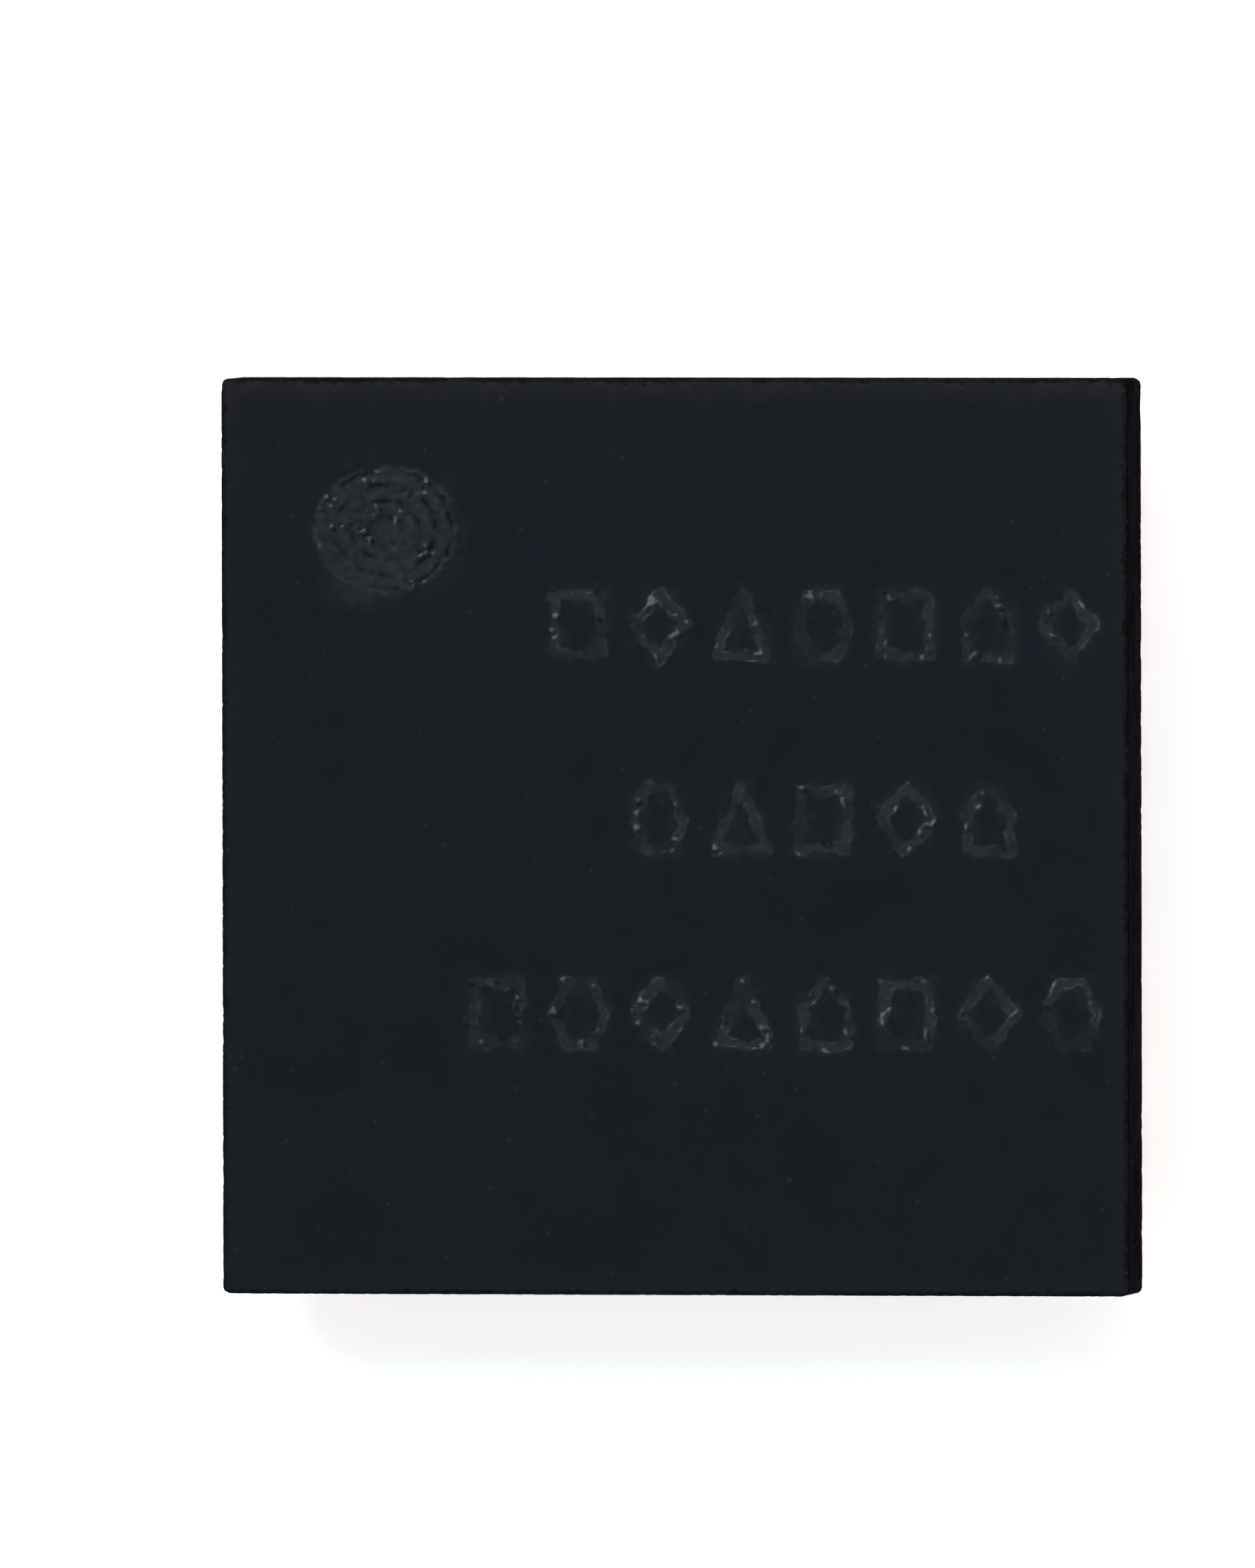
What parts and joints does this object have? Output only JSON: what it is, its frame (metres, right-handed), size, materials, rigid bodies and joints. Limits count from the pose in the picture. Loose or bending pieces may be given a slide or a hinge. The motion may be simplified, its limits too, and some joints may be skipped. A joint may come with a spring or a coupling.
{
  "type": "display driver chip",
  "caption": "Wafer-level chip package for a display driver: black-backed silicon die on a grid of solder balls under copper and polyimide layers.",
  "frame": {"origin": "centre of the die, on the seating plane that the solder balls stand on", "axes": "+Z out of the black marked face, away from the balls; +Y towards ball row a; +X from ball column 1 to column 7, seen with the marked face up"},
  "size_m": [0.0028, 0.0028, 0.0005],
  "materials": {
    "silicon": "sawn, dark grey-brown, with fine saw lines and chipped glints",
    "backside_film": "matt black, laser marked",
    "bond_pad_metal": "bright, sealed in",
    "polyimide": "orange-brown, smooth, raised over the copper",
    "copper": "plated, seen through the polyimide",
    "under_bump_metal": "plated copper",
    "solder": "dull tin with a crinkled skin"
  },
  "bodies": {
    "root": {"silicon_die": "silicon", "backside_film": "backside_film", "bond_pads": "bond_pad_metal", "lower_polyimide": "polyimide", "ground_plane": "copper", "supply_planes": "copper", "signal_traces": "copper", "upper_polyimide": "polyimide", "under_bump_pads": "under_bump_metal", "solder_ball_a1": "solder", "solder_ball_a2": "solder", "solder_ball_a3": "solder", "solder_ball_a5": "solder", "solder_ball_a6": "solder", "solder_ball_a7": "solder", "solder_ball_b1": "solder", "solder_ball_b2": "solder", "solder_ball_b3": "solder", "solder_ball_b4": "solder", "solder_ball_b5": "solder", "solder_ball_b6": "solder", "solder_ball_b7": "solder", "solder_ball_c1": "solder", "solder_ball_c2": "solder", "solder_ball_c3": "solder", "solder_ball_c4": "solder", "solder_ball_c5": "solder", "solder_ball_c6": "solder", "solder_ball_c7": "solder", "solder_ball_d1": "solder", "solder_ball_d2": "solder", "solder_ball_d3": "solder", "solder_ball_d4": "solder", "solder_ball_d5": "solder", "solder_ball_d6": "solder", "solder_ball_d7": "solder", "solder_ball_e1": "solder", "solder_ball_e2": "solder", "solder_ball_e3": "solder", "solder_ball_e4": "solder", "solder_ball_e5": "solder", "solder_ball_e6": "solder", "solder_ball_e7": "solder", "solder_ball_f1": "solder", "solder_ball_f2": "solder", "solder_ball_f3": "solder", "solder_ball_f4": "solder", "solder_ball_f5": "solder", "solder_ball_f6": "solder", "solder_ball_f7": "solder", "solder_ball_g1": "solder", "solder_ball_g2": "solder", "solder_ball_g3": "solder", "solder_ball_g4": "solder", "solder_ball_g5": "solder", "solder_ball_g6": "solder", "solder_ball_g7": "solder"}
  },
  "joints": []
}
